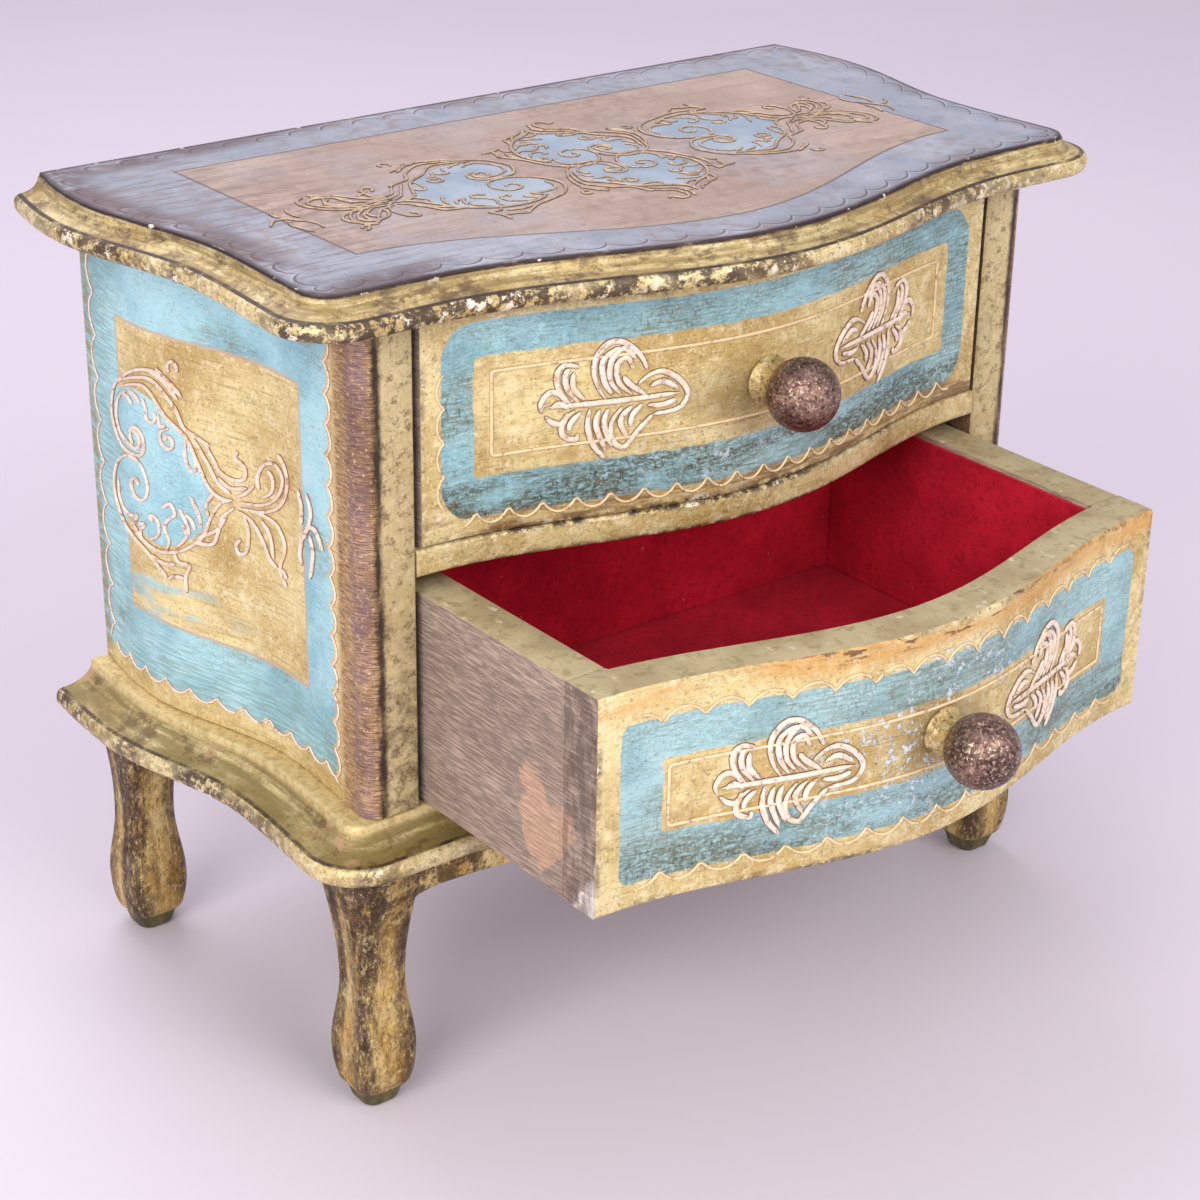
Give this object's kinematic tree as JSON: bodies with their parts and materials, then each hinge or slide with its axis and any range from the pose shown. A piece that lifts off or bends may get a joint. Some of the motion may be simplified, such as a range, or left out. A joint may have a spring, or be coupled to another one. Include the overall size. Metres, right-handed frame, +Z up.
{
  "type": "jewelry box",
  "caption": "Free-standing jewellery chest with sliding felt-lined drawers, bowed front, moulded top and base, and shaped legs.",
  "frame": {"origin": "middle of the whole object's footprint, on the surface it stands on, with the upper drawer shut and the lower drawer pulled out 67 mm", "axes": "+X to the chest's right as seen from the front, -Y out of the front, +Z up"},
  "size_m": [0.2656, 0.2266, 0.215],
  "materials": {
    "top_paint": "aged matt grey-blue and pink-tan paint on wood",
    "turquoise_paint": "worn turquoise paint with gold panels on wood",
    "gilding": "aged olive-gold gilding on wood",
    "worn_gilding": "rubbed dark gold gilding on wood",
    "bare_wood": "bare grey-brown wood",
    "red_felt": "crimson felt",
    "bronze_paint": "bronze-gold paint on turned wood",
    "screw_steel": "plain steel"
  },
  "bodies": {
    "case": {"top_board": "top_paint", "left_side_panel": "turquoise_paint", "right_side_panel": "turquoise_paint", "base_board": "gilding", "drawer_rail": "gilding", "front_left_leg": "worn_gilding", "front_right_leg": "worn_gilding", "back_left_leg": "worn_gilding", "back_right_leg": "worn_gilding", "front_apron": "worn_gilding", "back_panel": "bare_wood", "drawer_shelf": "bare_wood", "front_left_leg_dowel": "bare_wood", "front_right_leg_dowel": "bare_wood", "back_left_leg_dowel": "bare_wood", "back_right_leg_dowel": "bare_wood"},
    "upper_drawer": {"upper_drawer_front": "turquoise_paint", "upper_drawer_left_side": "bare_wood", "upper_drawer_right_side": "bare_wood", "upper_drawer_back": "bare_wood", "upper_drawer_bottom": "bare_wood", "upper_drawer_knob": "bronze_paint", "upper_knob_screw": "screw_steel", "upper_floor_lining": "red_felt", "upper_front_lining": "red_felt", "upper_back_lining": "red_felt", "upper_left_lining": "red_felt", "upper_right_lining": "red_felt"},
    "lower_drawer": {"lower_drawer_front": "turquoise_paint", "lower_drawer_left_side": "bare_wood", "lower_drawer_right_side": "bare_wood", "lower_drawer_back": "bare_wood", "lower_drawer_bottom": "bare_wood", "lower_drawer_knob": "bronze_paint", "lower_knob_screw": "screw_steel", "lower_floor_lining": "red_felt", "lower_front_lining": "red_felt", "lower_back_lining": "red_felt", "lower_left_lining": "red_felt", "lower_right_lining": "red_felt"}
  },
  "joints": [
    {"name": "upper_drawer_slide", "type": "slide", "parent": "case", "child": "upper_drawer", "axis": [0, -1, 0], "range_m": [0, 0.095]},
    {"name": "lower_drawer_slide", "type": "slide", "parent": "case", "child": "lower_drawer", "axis": [0, -1, 0], "range_m": [-0.067, 0.028]}
  ]
}
